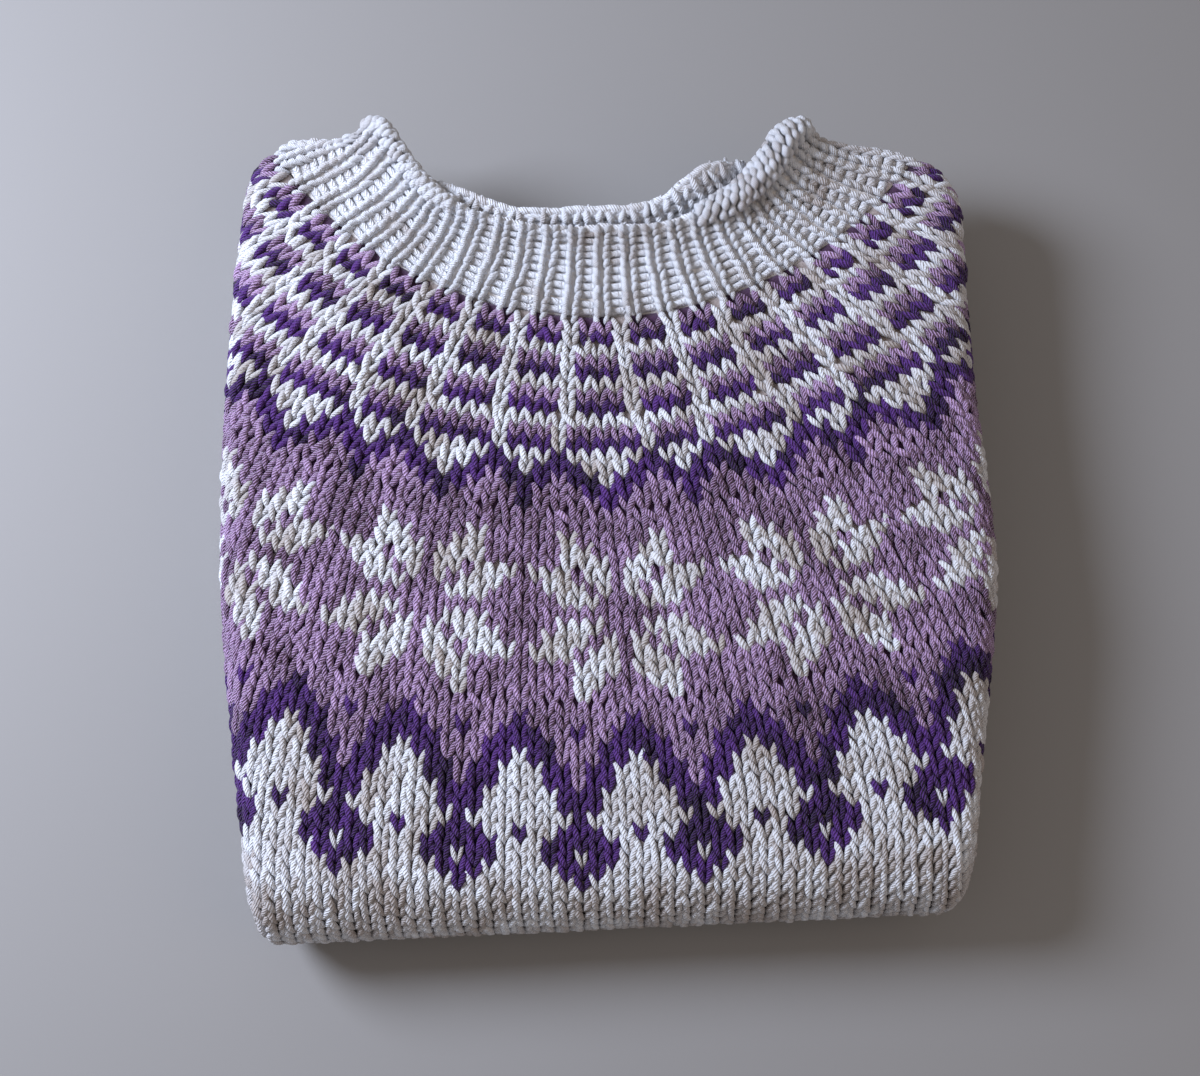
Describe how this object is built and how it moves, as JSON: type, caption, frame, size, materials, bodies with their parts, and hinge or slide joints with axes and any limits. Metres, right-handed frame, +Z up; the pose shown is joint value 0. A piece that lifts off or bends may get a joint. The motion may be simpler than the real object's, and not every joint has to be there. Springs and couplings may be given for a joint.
{
  "type": "folded sweater",
  "caption": "Hand-knitted wool sweater with a round colourwork yoke and a ribbed neckband, folded to a neat square bundle that lies flat, yoke up.",
  "frame": {"origin": "centre of the bounding box's base, on the surface the folded sweater lies on", "axes": "+X towards the wearer's left side (to the right as seen from the near fold), +Y towards the neckband and shoulders, +Z up out of the surface"},
  "size_m": [0.2694, 0.2894, 0.057],
  "materials": {
    "white_wool": "plain knitted wool, soft and matte",
    "yoke_wool": "stranded colourwork in white, lilac and dark purple wool, soft and matte",
    "inner_wool": "knitted wool, matte"
  },
  "bodies": {
    "root": {"neck_rib": "white_wool", "yoke": "yoke_wool", "body": "white_wool", "hem_rib": "white_wool", "sleeve_left": "white_wool", "sleeve_right": "white_wool", "folded_layers": "inner_wool"}
  },
  "joints": []
}
